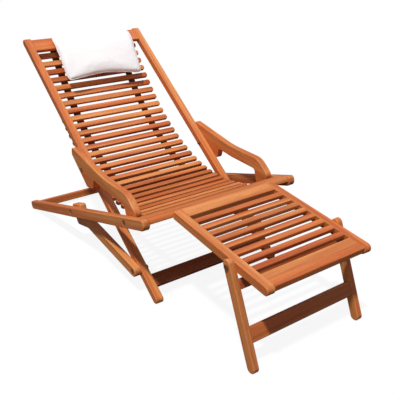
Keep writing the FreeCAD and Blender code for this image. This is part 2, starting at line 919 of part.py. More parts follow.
def strap_screws(label, place, run, turn, board, straps):
    """One screw through each strap into its board, headed on the strap's far side."""
    base = place.multiply(FreeCAD.Placement(V(run[0], 0, run[1]), FreeCAD.Rotation(V(1, 0, 0), turn)))
    screws = []
    for name, side in SIDES:
        spot = FreeCAD.Placement(base)
        spot.Base = V(base.Base.x, side * size("strap_centre"), base.Base.z)
        bore(board, "screw_bore_" + name, "sizes.screw_radius", "sizes.screw_length", spot)
        bore(straps[name], "screw_hole", "sizes.screw_radius", "sizes.screw_length", spot)
        shank = doc.addObject("Part::Cylinder", f"{label}_shank_{name}")
        shank.setExpression("Radius", "sizes.screw_radius")
        shank.setExpression("Height", "sizes.screw_length")
        shank.Placement = spot
        head = doc.addObject("Part::Cone", f"{label}_head_{name}")
        head.setExpression("Radius2", "sizes.screw_head_radius")
        head.setExpression("Radius1", "sizes.screw_head_radius - 1")
        head.setExpression("Height", "sizes.screw_head_thick")
        head.Placement = spot.multiply(
            FreeCAD.Placement(V(0, 0, -size("screw_head_thick")), FreeCAD.Rotation()))
        screw = doc.addObject("Part::Fuse", f"{label}_{name}")
        screw.Base = head
        screw.Tool = shank
        screws.append(screw)
    together(label, screws)


# Head pillow: sections across its length, from the head down, lofted across the chair

PILLOW_MIDDLE = 110
PILLOW_STATIONS = (-1, -0.86, -0.5, 0, 0.5, 0.86, 1)
# Run, middle rise and full rise of the points of the section
PILLOW_SECTION = (
    (10, 14, 20),
    (85, 22, 42),
    (197, -30, -20),
    (206, -30, -30),
    (197, -30, -40),
    (138, -4, -42),
    (93, 25, 6),
    (10, 14, 7),
    (2, 14, 13.5),
)


def pillow_section(station):
    """Points of the four arcs and the line round the pillow at one station across it."""
    fill = size("pillow_tip_fill") + (1 - size("pillow_tip_fill")) * (1 - station ** 4) ** 0.5
    bulge_over_board = 1.02 - 0.16 * station ** 4
    drawn_in_below = 0.84 + 0.16 * station ** 2
    spots = []
    for run, middle, rise in PILLOW_SECTION:
        spread = bulge_over_board if run < PILLOW_MIDDLE else drawn_in_below
        along = PILLOW_MIDDLE + (run - PILLOW_MIDDLE) * spread
        spots.append(V(along, middle + (rise - middle) * fill, 0))
    return spots


def head_pillow():
    turn = FreeCAD.Rotation(V(0, 0, 1), size("pillow_skew"))
    centre = V(PILLOW_MIDDLE, 0, 0)
    shift = FreeCAD.Placement(V(0, size("pillow_offset"), 0), FreeCAD.Rotation())
    skew = FreeCAD.Placement(V(0, 0, 0), turn, centre)
    body = new_body("head_pillow", BACK.multiply(shift).multiply(skew))
    sketches = []
    for index, station in enumerate(PILLOW_STATIONS):
        sketch = side_sketch(body, f"pillow_{index}", f"{station} * sizes.pillow_width / 2")
        front, crest, low_front, low_tip, low_rear, belly, rest, top_rear, top = pillow_section(station)
        sketch.addGeometry([
            Part.Arc(front, crest, low_front),
            Part.Arc(low_front, low_tip, low_rear),
            Part.Arc(low_rear, belly, rest),
            Part.LineSegment(rest, top_rear),
            Part.Arc(top_rear, top, front),
        ], False)
        sketches.append(sketch)
    doc.recompute()
    loft = body.newObject("PartDesign::AdditiveLoft", "pillow_filling")
    loft.Profile = sketches[0]
    loft.Sections = sketches[1:]
    loft.Ruled = False
    doc.recompute()
    keep(body)


# Assembly
for name, side in SIDES:
    seat_rail(name, side)
    back_rail(name, side)
    armrest(name, side)
    lock_link(name, side)
    rest_rail(name, side)
    rest_leg(name, side)

cross_board("rear_stretcher")
seat_board = cross_board("seat_front_board", (3, 3, 12, 3))
head_board = cross_board("head_board")
cross_board("back_lower_stretcher")
rest_board = cross_board("footrest_rear_board")
cross_board("footrest_front_board")
cross_board("leg_crossbar")
cross_board("leg_stretcher")

slat = slat_blank()
back_places = slat_places(-BACK_SLATS, BACK_SLATS)
seat_places = slat_places(0, SEAT_SLATS)
slats("back_slats", slat, back_places)
slats("seat_slats", slat, seat_places)
rest_slats()

back_line = [point(BACK, 13, -15), point(BACK, 28, -15)] + strap_line(back_places)
back_line.append(reach_beyond(back_line, size("strap_reach")))
seat_line = [point(SEAT, 975, 14), point(SEAT, 935, 14)] + strap_line(seat_places)[::-1]
seat_line.append(reach_beyond(seat_line, size("strap_reach")))
seat_line.reverse()
back_straps = {}
seat_straps = {}
for name, side in SIDES:
    back_straps[name] = strap(f"back_strap_{name}", side, back_line)
    seat_straps[name] = strap(f"seat_strap_{name}", side, seat_line)
webbing = size("strap_thick")
strap_screws("head_strap_screws", BACK, (20.5, -15 - webbing), 0, head_board, back_straps)
strap_screws("seat_strap_screws", SEAT, (956, 14 - webbing), 0, seat_board, seat_straps)
locating_pins()

arm_outer = "sizes.arm_inner + sizes.arm_thick"
rail_outer = "sizes.seat_rail_inner + sizes.seat_rail_thick"
sunk_head = f"{arm_outer} - sizes.bolt_head_thick - sizes.face_gap"
nut_space = "sizes.nut_thick"
for label, centre in (("arm_rear", ARM_REAR_HINGE), ("link", LINK_HINGE)):
    pivot(label, centre, sunk_head, f"sizes.back_rail_inner - {nut_space} - 1",
          f"sizes.back_rail_inner - {nut_space}")
pivot("arm_front", ARM_FRONT_HINGE, f"{rail_outer} - sizes.bolt_sink",
      f"sizes.arm_inner - sizes.face_gap - {nut_space} - 1",
      f"sizes.arm_inner - sizes.face_gap - {nut_space}")
rest_outer = "sizes.rest_rail_inner + sizes.rest_rail_thick"
pair("leg_bolts", lambda name, side: bolt(name, "sizes.leg_inner + sizes.leg_thick + sizes.face_gap",
                                          f"{rest_outer} - sizes.insert_length + 1", LEG_HINGE, side))
pair("leg_inserts", lambda name, side: insert(name, rest_outer, LEG_HINGE, side))
pair("hook_bolts", lambda name, side: bolt(name, f"{rail_outer} - sizes.bolt_sink",
                                           "sizes.seat_rail_inner + sizes.face_gap", HOOK_BOLT, side))

head_pillow()

# Every piece must be sound before anything is written
doc.recompute()
for item in doc.Objects:
    if "Invalid" in item.State or "Error" in item.State:
        raise RuntimeError(f"{item.Name} failed: {item.State}")
for item in nodes:
    if item.Shape.isNull() or not item.Shape.isValid():
        raise RuntimeError(f"{item.Label} has no sound shape")

os.makedirs("parts", exist_ok=True)
whole = FreeCAD.BoundBox()
for item in nodes:
    item.Shape.exportStep(f"parts/{item.Label}.step")
    whole.add(item.Shape.BoundBox)
print("nodes", len(nodes))
print("box", whole)
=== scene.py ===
import json
import math

import bmesh
import bpy
from mathutils import Euler, Matrix, Vector


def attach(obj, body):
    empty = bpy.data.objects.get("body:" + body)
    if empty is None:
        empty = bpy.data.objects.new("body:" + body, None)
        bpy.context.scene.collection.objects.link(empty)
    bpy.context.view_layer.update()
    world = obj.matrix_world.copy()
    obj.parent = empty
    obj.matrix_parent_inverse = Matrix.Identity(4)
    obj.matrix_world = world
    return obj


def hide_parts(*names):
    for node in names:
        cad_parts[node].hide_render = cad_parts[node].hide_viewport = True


bl_info = {
    "name": "Steamer deck chair",
    "version": (1, 0, 0),
    "blender": (4, 5, 0),
    "location": "3D View > Sidebar > Deck chair",
    "description": "Finishes the timber, straps and fasteners of a deck chair and makes its head pillow",
    "category": "Object",
}

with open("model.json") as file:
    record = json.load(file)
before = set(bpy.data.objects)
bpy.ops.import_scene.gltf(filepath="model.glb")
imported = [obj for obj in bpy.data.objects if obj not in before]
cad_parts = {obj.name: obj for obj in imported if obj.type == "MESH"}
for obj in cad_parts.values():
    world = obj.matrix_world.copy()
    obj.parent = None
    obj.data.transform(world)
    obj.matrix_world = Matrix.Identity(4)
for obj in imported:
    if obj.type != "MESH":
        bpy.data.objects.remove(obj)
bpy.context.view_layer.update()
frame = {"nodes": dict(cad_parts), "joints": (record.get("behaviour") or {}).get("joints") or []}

MM = 0.001


# Places taken from the frame

def joint_place(name):
    """Pivot of one of the chair's joints, in metres."""
    for joint in frame["joints"]:
        if joint["name"] == name:
            return Vector(joint["pos_m"])
    raise RuntimeError("the frame has no joint " + name)


ARM_PIVOT = joint_place("back_fold")
LINK_PIVOT = joint_place("left_link_lift")
DOWN_BACK = (LINK_PIVOT - ARM_PIVOT).normalized()
OFF_BACK = Vector((-DOWN_BACK.z, 0, DOWN_BACK.x))
ACROSS = Vector((0, 1, 0))
# Distance of the armrests' pivot down the back rails, and from there to the rails' upper face
ARM_PIVOT_RUN = 616.3 * MM
HALF_BACK_RAIL = 13 * MM
# Top end of the back rails, from which the pillow is measured down the back
BACK_TOP = ARM_PIVOT - DOWN_BACK * ARM_PIVOT_RUN + OFF_BACK * HALF_BACK_RAIL

# Angle by which each kind of piece slopes down to the front, in degrees
GRAIN_SLOPES = {
    "seat_rail": -17.1,
    "back_rail": 36.6,
    "footrest_rail": 6.7,
    "footrest_leg": 67.3,
    "lock_link": 7.9,
    "armrest": 5.0,
}
CROSS_BOARDS = (
    "rear_stretcher", "seat_front_board", "head_board", "back_lower_stretcher",
    "footrest_rear_board", "footrest_front_board", "leg_crossbar", "leg_stretcher",
)
# Boards darkened by painted shade, for the deep shade under the seat and footrest, and how much of the
# usual tone they keep
PAINTED_SHADE_BOARDS = {"back_lower_stretcher": 0.5, "leg_crossbar": 0.8, "leg_stretcher": 0.85}
# Power by which green and blue fall faster than red in that painted shade
PAINTED_SHADE_WARMTH = 1.3
SLATS = ("seat_slats", "back_slats", "footrest_slats")
STRAPS = ("seat_strap_left", "seat_strap_right", "back_strap_left", "back_strap_right")
FASTENERS = (
    "seat_strap_screws", "head_strap_screws", "arm_front_bolts", "arm_front_nuts",
    "arm_rear_bolts", "arm_rear_nuts", "hook_bolts", "link_bolts", "link_nuts",
    "leg_bolts", "leg_inserts", "footrest_pins",
)


def linear(red, green, blue):
    """Colour given as 0 to 255 in sRGB, as linear values."""
    values = []
    for channel in (red, green, blue):
        share = channel / 255
        values.append(share / 12.92 if share <= 0.04045 else ((share + 0.055) / 1.055) ** 2.4)
    return tuple(values)


# What a user would change

class TimberSettings(bpy.types.PropertyGroup):
    light_tone: bpy.props.FloatVectorProperty(
        name="Light tone", description="Colour of the early wood", subtype="COLOR",
        default=linear(238, 161, 91), min=0, max=1)
    dark_tone: bpy.props.FloatVectorProperty(
        name="Dark tone", description="Colour of the darker bands", subtype="COLOR",
        default=linear(180, 98, 50), min=0, max=1)
    pore_tone: bpy.props.FloatVectorProperty(
        name="Pore tone", description="Colour in the open pores", subtype="COLOR",
        default=linear(104, 46, 24), min=0, max=1)
    red_tone: bpy.props.FloatVectorProperty(
        name="Red tone", description="Tint of the redder pieces", subtype="COLOR",
        default=linear(244, 214, 200), min=0, max=1)
    # Lighter edge colour: partly wear, partly a painted highlight on the rounded edges
    worn_edge_highlight_tone: bpy.props.FloatVectorProperty(
        name="Edge tone", description="Colour where handling has worn the oil off the edges",
        subtype="COLOR", default=linear(250, 184, 124), min=0, max=1)
    edge_width: bpy.props.FloatProperty(
        name="Edge width", description="Width over which an edge is rounded and worn",
        default=1.5 * MM, min=0, unit="LENGTH")
    gloss: bpy.props.FloatProperty(
        name="Oil gloss", description="Strength of the thin coat of oil",
        default=0.06, min=0, max=1, subtype="FACTOR")


class WebbingSettings(bpy.types.PropertyGroup):
    thread_tone: bpy.props.FloatVectorProperty(
        name="Thread tone", description="Colour of the threads", subtype="COLOR",
        default=linear(74, 38, 28), min=0, max=1)
    # Painted shade in the hollows between the webbing's threads
    gap_tone: bpy.props.FloatVectorProperty(
        name="Gap tone", description="Colour between the threads", subtype="COLOR",
        default=linear(32, 16, 12), min=0, max=1)
    thread_pitch: bpy.props.FloatProperty(
        name="Thread pitch", description="Distance between threads of the webbing",
        default=1.6 * MM, min=0.0001, unit="LENGTH")


class FastenerSettings(bpy.types.PropertyGroup):
    metal_tone: bpy.props.FloatVectorProperty(
        name="Metal tone", description="Colour of clean metal", subtype="COLOR",
        default=linear(196, 140, 92), min=0, max=1)
    tarnish_tone: bpy.props.FloatVectorProperty(
        name="Tarnish tone", description="Colour of tarnished metal", subtype="COLOR",
        default=linear(138, 88, 56), min=0, max=1)


class PillowSettings(bpy.types.PropertyGroup):
    width: bpy.props.FloatProperty(
        name="Width", description="Width across the chair, from corner to corner",
        default=329 * MM, min=0.05, unit="LENGTH")
    height: bpy.props.FloatProperty(
        name="Height", description="Height down the back, from corner to corner",
        default=210 * MM, min=0.05, unit="LENGTH")
    thickness: bpy.props.FloatProperty(
        name="Thickness", description="Thickness in the middle, once filled",
        default=42 * MM, min=0.01, unit="LENGTH")
    gather: bpy.props.FloatProperty(
        name="Gather", description="Share of the cover's pull on its own sides that is kept",
        default=0.12, min=0, max=1, subtype="FACTOR")
    taper: bpy.props.FloatProperty(
        name="Taper", description="Share by which each half narrows or widens down the back",
        default=0.03, min=-0.2, max=0.2)
    top_droop: bpy.props.FloatProperty(
        name="Top droop", description="How far the top corners hang below the middle of the top",
        default=34 * MM, min=0, unit="LENGTH")
    foot_droop: bpy.props.FloatProperty(
        name="Foot droop", description="How far the lower corners hang below the middle",
        default=17 * MM, min=0, unit="LENGTH")
    offset: bpy.props.FloatProperty(
        name="Offset", description="How far it lies off the middle of the chair",
        default=11 * MM, unit="LENGTH")
    skew: bpy.props.FloatProperty(
        name="Skew", description="Turn on the back", default=math.radians(-1.5), subtype="ANGLE")
    piping: bpy.props.FloatProperty(
        name="Piping", description="Thickness of the cord sewn into the seam",
        default=4 * MM, min=0.001, unit="LENGTH")
    cloth_tone: bpy.props.FloatVectorProperty(
        name="Cloth tone", description="Colour of the cotton cover", subtype="COLOR",
        default=linear(248, 248, 244), min=0, max=1)
    # Painted shade in the hollows between the cover's threads
    shadow_tone: bpy.props.FloatVectorProperty(
        name="Thread shadow tone", description="Colour between the threads", subtype="COLOR",
        default=linear(238, 234, 228), min=0, max=1)
    piping_tone: bpy.props.FloatVectorProperty(
        name="Piping tone", description="Colour of the piping", subtype="COLOR",
        default=linear(232, 212, 204), min=0, max=1)


class StudioSettings(bpy.types.PropertyGroup):
    key_power: bpy.props.FloatProperty(
        name="Key light", description="Strength of the sunlight", default=2.9, min=0)
    fill_power: bpy.props.FloatProperty(
        name="Fill light", description="Power of the soft light from the camera's side",
        default=15, min=0, unit="POWER")
    sheen_power: bpy.props.FloatProperty(
        name="Sheen light", description="Power of the soft light that glances off the back",
        default=6, min=0, unit="POWER")
    front_power: bpy.props.FloatProperty(
        name="Front light", description="Power of the lamp that lights the pillow from the front",
        default=30, min=0, unit="POWER")
    ambient: bpy.props.FloatProperty(
        name="Ambient", description="Strength of the light from all round",
        default=0.27, min=0, max=1)
    ambient_tone: bpy.props.FloatVectorProperty(
        name="Ambient tone", description="Colour of the light from all round", subtype="COLOR",
        default=(0.82, 0.74, 1.0), min=0, max=1)
    floor_tone: bpy.props.FloatVectorProperty(
        name="Floor tone", description="Colour of the floor as it is seen", subtype="COLOR",
        default=(0.97, 0.97, 0.97), min=0, max=1)
    floor_bounce: bpy.props.FloatProperty(
        name="Floor bounce", description="Share of the light that the floor throws back up",
        default=0.07, min=0, max=1, subtype="FACTOR")


# Shader helpers

def material_nodes(name):
    """New material with only its output and a Principled shader."""
    material = bpy.data.materials.new(name)
    material.use_nodes = True
    tree = material.node_tree
    shader = tree.nodes["Principled BSDF"]
    return material, tree, shader


def add(tree, kind, **settings):
    """New node of a kind, with its own settings."""
    node = tree.nodes.new(kind)
    for name, value in settings.items():
        setattr(node, name, value)
    return node


def feed(tree, node, **inputs):
    """Set or link a node's inputs by name, with spaces written as underscores."""
    for name, value in inputs.items():
        socket = node.inputs[name.replace("_", " ")]
        if isinstance(value, bpy.types.NodeSocket):
            tree.links.new(value, socket)
        else:
            socket.default_value = value


def maths(tree, operation, first, second=0.0, clamp=False):
    """Result of one operation on two values or sockets."""
    node = add(tree, "ShaderNodeMath", operation=operation, use_clamp=clamp)
    for index, value in enumerate((first, second)):
        if isinstance(value, bpy.types.NodeSocket):
            tree.links.new(value, node.inputs[index])
        else:
            node.inputs[index].default_value = value
    return node.outputs[0]


def mix_colour(tree, share, first, second, blend="MIX"):
    """First colour at share 0, and the second or its blend with the first at share 1."""
    node = add(tree, "ShaderNodeMix", data_type="RGBA", blend_type=blend)
    for index, value in ((0, share), (6, first), (7, second)):
        if isinstance(value, bpy.types.NodeSocket):
            tree.links.new(value, node.inputs[index])
        elif index:
            node.inputs[index].default_value = (*value[:3], 1)
        else:
            node.inputs[index].default_value = value
    return node.outputs[2]


def ramp(tree, value, low, high):
    """Share from 0 at low to 1 at high."""
    node = add(tree, "ShaderNodeMapRange", interpolation_type="SMOOTHSTEP")
    feed(tree, node, Value=value, From_Min=low, From_Max=high)
    return node.outputs[0]


def stretch(tree, vector, scale):
    """Coordinates multiplied by the repeats per metre along each axis."""
    node = add(tree, "ShaderNodeVectorMath", operation="MULTIPLY")
    tree.links.new(vector, node.inputs[0])
    node.inputs[1].default_value = scale
    return node.outputs[0]


def cloud(tree, vector, detail=2, rough=0.5, distortion=0):
    """Noise from 0 to 1 over the coordinates given."""
    node = add(tree, "ShaderNodeTexNoise")
    feed(tree, node, Vector=vector, Scale=1, Detail=detail, Roughness=rough, Distortion=distortion)
    return node.outputs["Fac"]


def new_group(name, inputs, outputs):
    """Empty shader node group with its sockets, as (group, input node, output node)."""
    group = bpy.data.node_groups.new(name, "ShaderNodeTree")
    for label, kind, value in inputs:
        socket = group.interface.new_socket(label, in_out="INPUT", socket_type="NodeSocket" + kind)
        if value is not None:
            socket.default_value = value
    for label, kind in outputs:
        group.interface.new_socket(label, in_out="OUTPUT", socket_type="NodeSocket" + kind)
    return group, group.nodes.new("NodeGroupInput"), group.nodes.new("NodeGroupOutput")


def place_group(tree, group, **inputs):
    """One use of a node group, with its own values."""
    node = add(tree, "ShaderNodeGroup", node_tree=group)
    feed(tree, node, **inputs)
    return node


# Effects shared by several materials

# Repeats per metre along and across the grain: whole boards, red boards, bands, fibres and pores
BOARD_REPEATS = (1.2, 30, 30)
RUDDY_REPEATS = (0.9, 23, 23)
BAND_REPEATS = (5, 130, 130)
FIBRE_REPEATS = (26, 900, 900)
PORE_REPEATS = (110, 1900, 1900)
# Repeats per metre of the patches on a worn edge, and of the uneven spots in thread
WEAR_REPEATS = (60, 60, 60)
SLUB_REPEATS = (420, 420, 420)


def timber_grain():
    """Bands, fibres and pores of a hardwood whose grain runs along X, in metres."""
    group, given, result = new_group(
        "Timber grain",
        [("Along Grain", "Vector", None), ("Light Tone", "Color", (1, 1, 1, 1)),
         ("Dark Tone", "Color", (0, 0, 0, 1)), ("Pore Tone", "Color", (0, 0, 0, 1)),
         ("Red Tone", "Color", (1, 1, 1, 1)), ("Board Spread", "Float", 0.5)],
        [("Colour", "Color"), ("Roughness", "Float"), ("Height", "Float")])
    vector = given.outputs["Along Grain"]
    board = ramp(group, cloud(group, stretch(group, vector, BOARD_REPEATS), 1), 0.32, 0.68)
    streaks = cloud(group, stretch(group, vector, BAND_REPEATS), 4, 0.6, 0.6)
    bands = ramp(group, streaks, 0.35, 0.65)
    fibre = cloud(group, stretch(group, vector, FIBRE_REPEATS), 3, 0.65)
    dashes = cloud(group, stretch(group, vector, PORE_REPEATS), 1)
    pores = ramp(group, dashes, 0.66, 0.74)
    depth = maths(group, "ADD", 0.1, maths(group, "MULTIPLY", bands, 0.32))
    depth = maths(group, "ADD", depth, maths(group, "MULTIPLY", fibre, 0.24))
    spread = maths(group, "MULTIPLY", board, given.outputs["Board Spread"])
    depth = maths(group, "ADD", depth, spread, clamp=True)
    tone = mix_colour(group, depth, given.outputs["Light Tone"], given.outputs["Dark Tone"])
    ruddy = ramp(group, cloud(group, stretch(group, vector, RUDDY_REPEATS), 0), 0.4, 0.62)
    tone = mix_colour(group, ruddy, tone, given.outputs["Red Tone"], "MULTIPLY")
    tone = mix_colour(group, maths(group, "MULTIPLY", pores, 0.7), tone, given.outputs["Pore Tone"])
    rough = maths(group, "ADD", maths(group, "MULTIPLY", fibre, 0.2),
                  maths(group, "MULTIPLY", pores, 0.2))
    rough = maths(group, "ADD", rough, 0.36)
    height = maths(group, "SUBTRACT", maths(group, "MULTIPLY", fibre, 0.5), pores)
    group.links.new(tone, result.inputs["Colour"])
    group.links.new(rough, result.inputs["Roughness"])
    group.links.new(height, result.inputs["Height"])
    return group


def edge_wear_highlight():
    """Share by which a point lies on a worn edge, used both for wear and for a painted highlight, and
    the normal of the rounded edge.
    """
    group, given, result = new_group(
        "Edge wear",
        [("Width", "Float", 0.0015), ("Position", "Vector", None)],
        [("Mask", "Float"), ("Normal", "Vector")])
    bevel = add(group, "ShaderNodeBevel", samples=6)
    group.links.new(given.outputs["Width"], bevel.inputs["Radius"])
    true_normal = add(group, "ShaderNodeNewGeometry").outputs["True Normal"]
    match = add(group, "ShaderNodeVectorMath", operation="DOT_PRODUCT")
    group.links.new(bevel.outputs[0], match.inputs[0])
    group.links.new(true_normal, match.inputs[1])
    edge = ramp(group, match.outputs["Value"], 0.998, 0.9)
    patches = cloud(group, stretch(group, given.outputs["Position"], WEAR_REPEATS), 3, 0.6)
    worn = maths(group, "MULTIPLY", edge, ramp(group, patches, 0.3, 0.6))
    group.links.new(worn, result.inputs["Mask"])
    group.links.new(bevel.outputs[0], result.inputs["Normal"])
    return group


def woven_cloth():
    """Plain weave with threads along X and Y, the given pitch apart, with painted shade between them."""
    group, given, result = new_group(
        "Woven cloth",
        [("Vector", "Vector", None), ("Pitch", "Float", 0.001),
         ("Thread Tone", "Color", (1, 1, 1, 1)), ("Gap Tone", "Color", (0, 0, 0, 1))],
        [("Colour", "Color"), ("Roughness", "Float"), ("Height", "Float")])
    parts = add(group, "ShaderNodeSeparateXYZ")
    group.links.new(given.outputs["Vector"], parts.inputs[0])
    turns = maths(group, "DIVIDE", math.pi, given.outputs["Pitch"])
    waves = []
    for axis in ("X", "Y"):
        waves.append(maths(group, "SINE", maths(group, "MULTIPLY", parts.outputs[axis], turns)))
    over = maths(group, "MULTIPLY", waves[0], waves[1])
    crown = maths(group, "ABSOLUTE", over)
    slubs = cloud(group, stretch(group, given.outputs["Vector"], SLUB_REPEATS), 2)
    share = maths(group, "MULTIPLY", ramp(group, crown, 0.05, 0.6),
                  maths(group, "ADD", 0.6, maths(group, "MULTIPLY", slubs, 0.6)), clamp=True)
    # The gap tone is painted shade in the hollows between the threads
    tone = mix_colour(group, share, given.outputs["Gap Tone"], given.outputs["Thread Tone"])
    height = maths(group, "ADD", crown, maths(group, "MULTIPLY", slubs, 0.3))
    rough = maths(group, "ADD", 0.78, maths(group, "MULTIPLY", slubs, 0.2))
    group.links.new(tone, result.inputs["Colour"])
    group.links.new(rough, result.inputs["Roughness"])
    group.links.new(height, result.inputs["Height"])
    return group


def effect(name, build):
    """The node group of that name, built the first time it is asked for."""
    return bpy.data.node_groups.get(name) or build()


def bump(tree, height, distance, normal=None):
    """Normal of a relief of the depth given, on top of another normal where one is given."""
    node = add(tree, "ShaderNodeBump")
    feed(tree, node, Height=height, Distance=distance, Strength=1.0)
    if normal is not None:
        tree.links.new(normal, node.inputs["Normal"])
    return node.outputs["Normal"]


# Timber

# How far rails and boards, and slats, differ from one another in tone
RAIL_SPREAD = 0.35
SLAT_SPREAD = 0.6
# Steps from one piece's part of the timber to the next one's, in metres along, across and up
RAIL_STEP = (0.37, 0.21, 0.13)
BOARD_STEP = (0.29, 0, 0.17)
SLAT_STEP = (0.41, 0, 0)
# Share of the edge tone on a fully worn edge, which is partly wear and partly painted highlight, and
# depth of the grain's relief
WORN_HIGHLIGHT_SHARE = 0.45
GRAIN_RELIEF = 0.12 * MM
# Turn that lays the grain of a piece across the chair
GRAIN_ACROSS = (0, 0, math.radians(90))


def oiled_timber(name, turn, spread, shift=(0, 0, 0), shade=1.0):
    """Oiled hardwood whose grain lies along X once the piece is turned by the angles given, darkened as
    painted shade where shade is under 1.
    """
    settings = bpy.context.scene.chair_timber
    material, tree, shader = material_nodes(name)
    place = add(tree, "ShaderNodeTexCoord").outputs["Object"]
    mapping = add(tree, "ShaderNodeMapping")
    feed(tree, mapping, Vector=place, Rotation=turn, Location=shift)
    grain = place_group(
        tree, effect("Timber grain", timber_grain), Along_Grain=mapping.outputs[0],
        Light_Tone=(*settings.light_tone, 1), Dark_Tone=(*settings.dark_tone, 1),
        Pore_Tone=(*settings.pore_tone, 1), Red_Tone=(*settings.red_tone, 1), Board_Spread=spread)
    wear_and_highlight = place_group(tree, effect("Edge wear", edge_wear_highlight), Width=settings.edge_width, Position=place)
    # Lighter edges: partly wear, partly a painted highlight
    tone = mix_colour(tree, maths(tree, "MULTIPLY", wear_and_highlight.outputs["Mask"], WORN_HIGHLIGHT_SHARE),
                      grain.outputs["Colour"], settings.worn_edge_highlight_tone)
    # Painted shade: darker and redder tone for pieces in deep shade
    cool_shade = shade ** PAINTED_SHADE_WARMTH
    tone = mix_colour(tree, 1.0, tone, (shade, cool_shade, cool_shade), "MULTIPLY")
    feed(tree, shader, Base_Color=tone, Roughness=grain.outputs["Roughness"],
         Specular_IOR_Level=0.3, Coat_Weight=settings.gloss, Coat_Roughness=0.28,
         Normal=bump(tree, grain.outputs["Height"], GRAIN_RELIEF, wear_and_highlight.outputs["Normal"]))
    material.diffuse_color = (*settings.dark_tone, 1)
    return material


def dress(name, material):
    """Give a CAD piece its finish."""
    node = frame["nodes"][name]
    node.data.materials.clear()
    node.data.materials.append(material)


class CHAIR_OT_rails(bpy.types.Operator):
    """Oil the rails, armrests, links and footrest legs, with the grain along each of them"""
    bl_idname = "chair.rails"
    bl_label = "Oil the rails"

    def execute(self, context):
        for index, (kind, slope) in enumerate(GRAIN_SLOPES.items()):
            for side, name in enumerate(("left", "right")):
                piece = f"{kind}_{name}"
                turn = (0, -math.radians(slope), 0)
                along, across, up = RAIL_STEP
                shift = (along * index, across * side, up * index)
                dress(piece, oiled_timber("timber_" + piece, turn, RAIL_SPREAD, shift))
        return {"FINISHED"}


class CHAIR_OT_boards(bpy.types.Operator):
    """Oil the boards and stretchers that run across the chair, with painted shade on those that lie in
    deep shade
    """
    bl_idname = "chair.boards"
    bl_label = "Oil the cross boards"

    def execute(self, context):
        for index, name in enumerate(CROSS_BOARDS):
            shift = tuple(step * index for step in BOARD_STEP)
            # Painted shade on the boards under the seat and footrest
            shade = PAINTED_SHADE_BOARDS.get(name, 1.0)
            timber = oiled_timber("timber_" + name, GRAIN_ACROSS, RAIL_SPREAD, shift, shade)
            dress(name, timber)
        return {"FINISHED"}


class CHAIR_OT_slats(bpy.types.Operator):
    """Oil the slats, each a little lighter or darker than the next"""
    bl_idname = "chair.slats"
    bl_label = "Oil the slats"

    def execute(self, context):
        for index, name in enumerate(SLATS):
            shift = tuple(step * index for step in SLAT_STEP)
            dress(name, oiled_timber("timber_" + name, GRAIN_ACROSS, SLAT_SPREAD, shift))
        return {"FINISHED"}


# Straps and fasteners

# Turn of the weave, between the slopes of the straps under the seat and under the back
WEBBING_TURN = (0, math.radians(-45), 0)
WEBBING_RELIEF = 0.3 * MM
# Repeats per metre of the tarnish and of the fine scratches, and the depth of the scratches
TARNISH_REPEATS = (160, 160, 160)
SCRATCH_REPEATS = (2200, 300, 2200)
SCRATCH_RELIEF = 0.02 * MM
# Width over which a fastener's edges are rounded and worn bright
METAL_EDGE = 0.5 * MM


def strap_webbing():
    """Dark webbing that carries the slats."""
    settings = bpy.context.scene.chair_webbing
    material, tree, shader = material_nodes("strap_webbing")
    place = add(tree, "ShaderNodeTexCoord").outputs["Object"]
    mapping = add(tree, "ShaderNodeMapping")
    feed(tree, mapping, Vector=place, Rotation=WEBBING_TURN)
    weave = place_group(
        tree, effect("Woven cloth", woven_cloth), Vector=mapping.outputs[0],
        Pitch=settings.thread_pitch, Thread_Tone=(*settings.thread_tone, 1),
        Gap_Tone=(*settings.gap_tone, 1))
    feed(tree, shader, Base_Color=weave.outputs["Colour"], Roughness=weave.outputs["Roughness"],
         Sheen_Weight=0.15, Normal=bump(tree, weave.outputs["Height"], WEBBING_RELIEF))
    return material


class CHAIR_OT_straps(bpy.types.Operator):
    """Weave the straps that carry the slats"""
    bl_idname = "chair.straps"
    bl_label = "Weave the straps"

    def execute(self, context):
        webbing = strap_webbing()
        for name in STRAPS:
            dress(name, webbing)
        return {"FINISHED"}


def tarnished_brass():
    """Brass with patches of tarnish, fine scratches and bright edges."""
    settings = bpy.context.scene.chair_fasteners
    material, tree, shader = material_nodes("tarnished_brass")
    place = add(tree, "ShaderNodeTexCoord").outputs["Object"]
    patches = cloud(tree, stretch(tree, place, TARNISH_REPEATS), 4, 0.6)
    tarnish = ramp(tree, patches, 0.35, 0.65)
    wear_and_highlight = place_group(tree, effect("Edge wear", edge_wear_highlight), Width=METAL_EDGE, Position=place)
    tone = mix_colour(tree, tarnish, settings.metal_tone, settings.tarnish_tone)
    tone = mix_colour(tree, wear_and_highlight.outputs["Mask"], tone, settings.metal_tone)
    scratches = cloud(tree, stretch(tree, place, SCRATCH_REPEATS), 2)
    feed(tree, shader, Base_Color=tone, Metallic=0.7,
         Roughness=maths(tree, "ADD", 0.28, maths(tree, "MULTIPLY", tarnish, 0.25)),
         Normal=bump(tree, scratches, SCRATCH_RELIEF, wear_and_highlight.outputs["Normal"]))
    return material


class CHAIR_OT_fasteners(bpy.types.Operator):
    """Finish the bolts, nuts, screws and pins in tarnished brass"""
    bl_idname = "chair.fasteners"
    bl_label = "Finish the fasteners"

    def execute(self, context):
        brass = tarnished_brass()
        for name in FASTENERS:
            dress(name, brass)
        return {"FINISHED"}


# Head pillow

# Squares of the cover's mesh down the back and across it
PILLOW_ROWS = 40
PILLOW_COLUMNS = 60
# Straight steps that the curve of the middle layer is cut into
PILLOW_STEPS = 64
# Middle layer of the pillow, as distance down the back and height over its rails, in mm
PILLOW_SAG = ((-50, 4), (16, 15), (76, 17), (140, 2), (216, -22), (290, -44))
# Distance along that line of the pillow's centre
PILLOW_CENTRE = 176 * MM
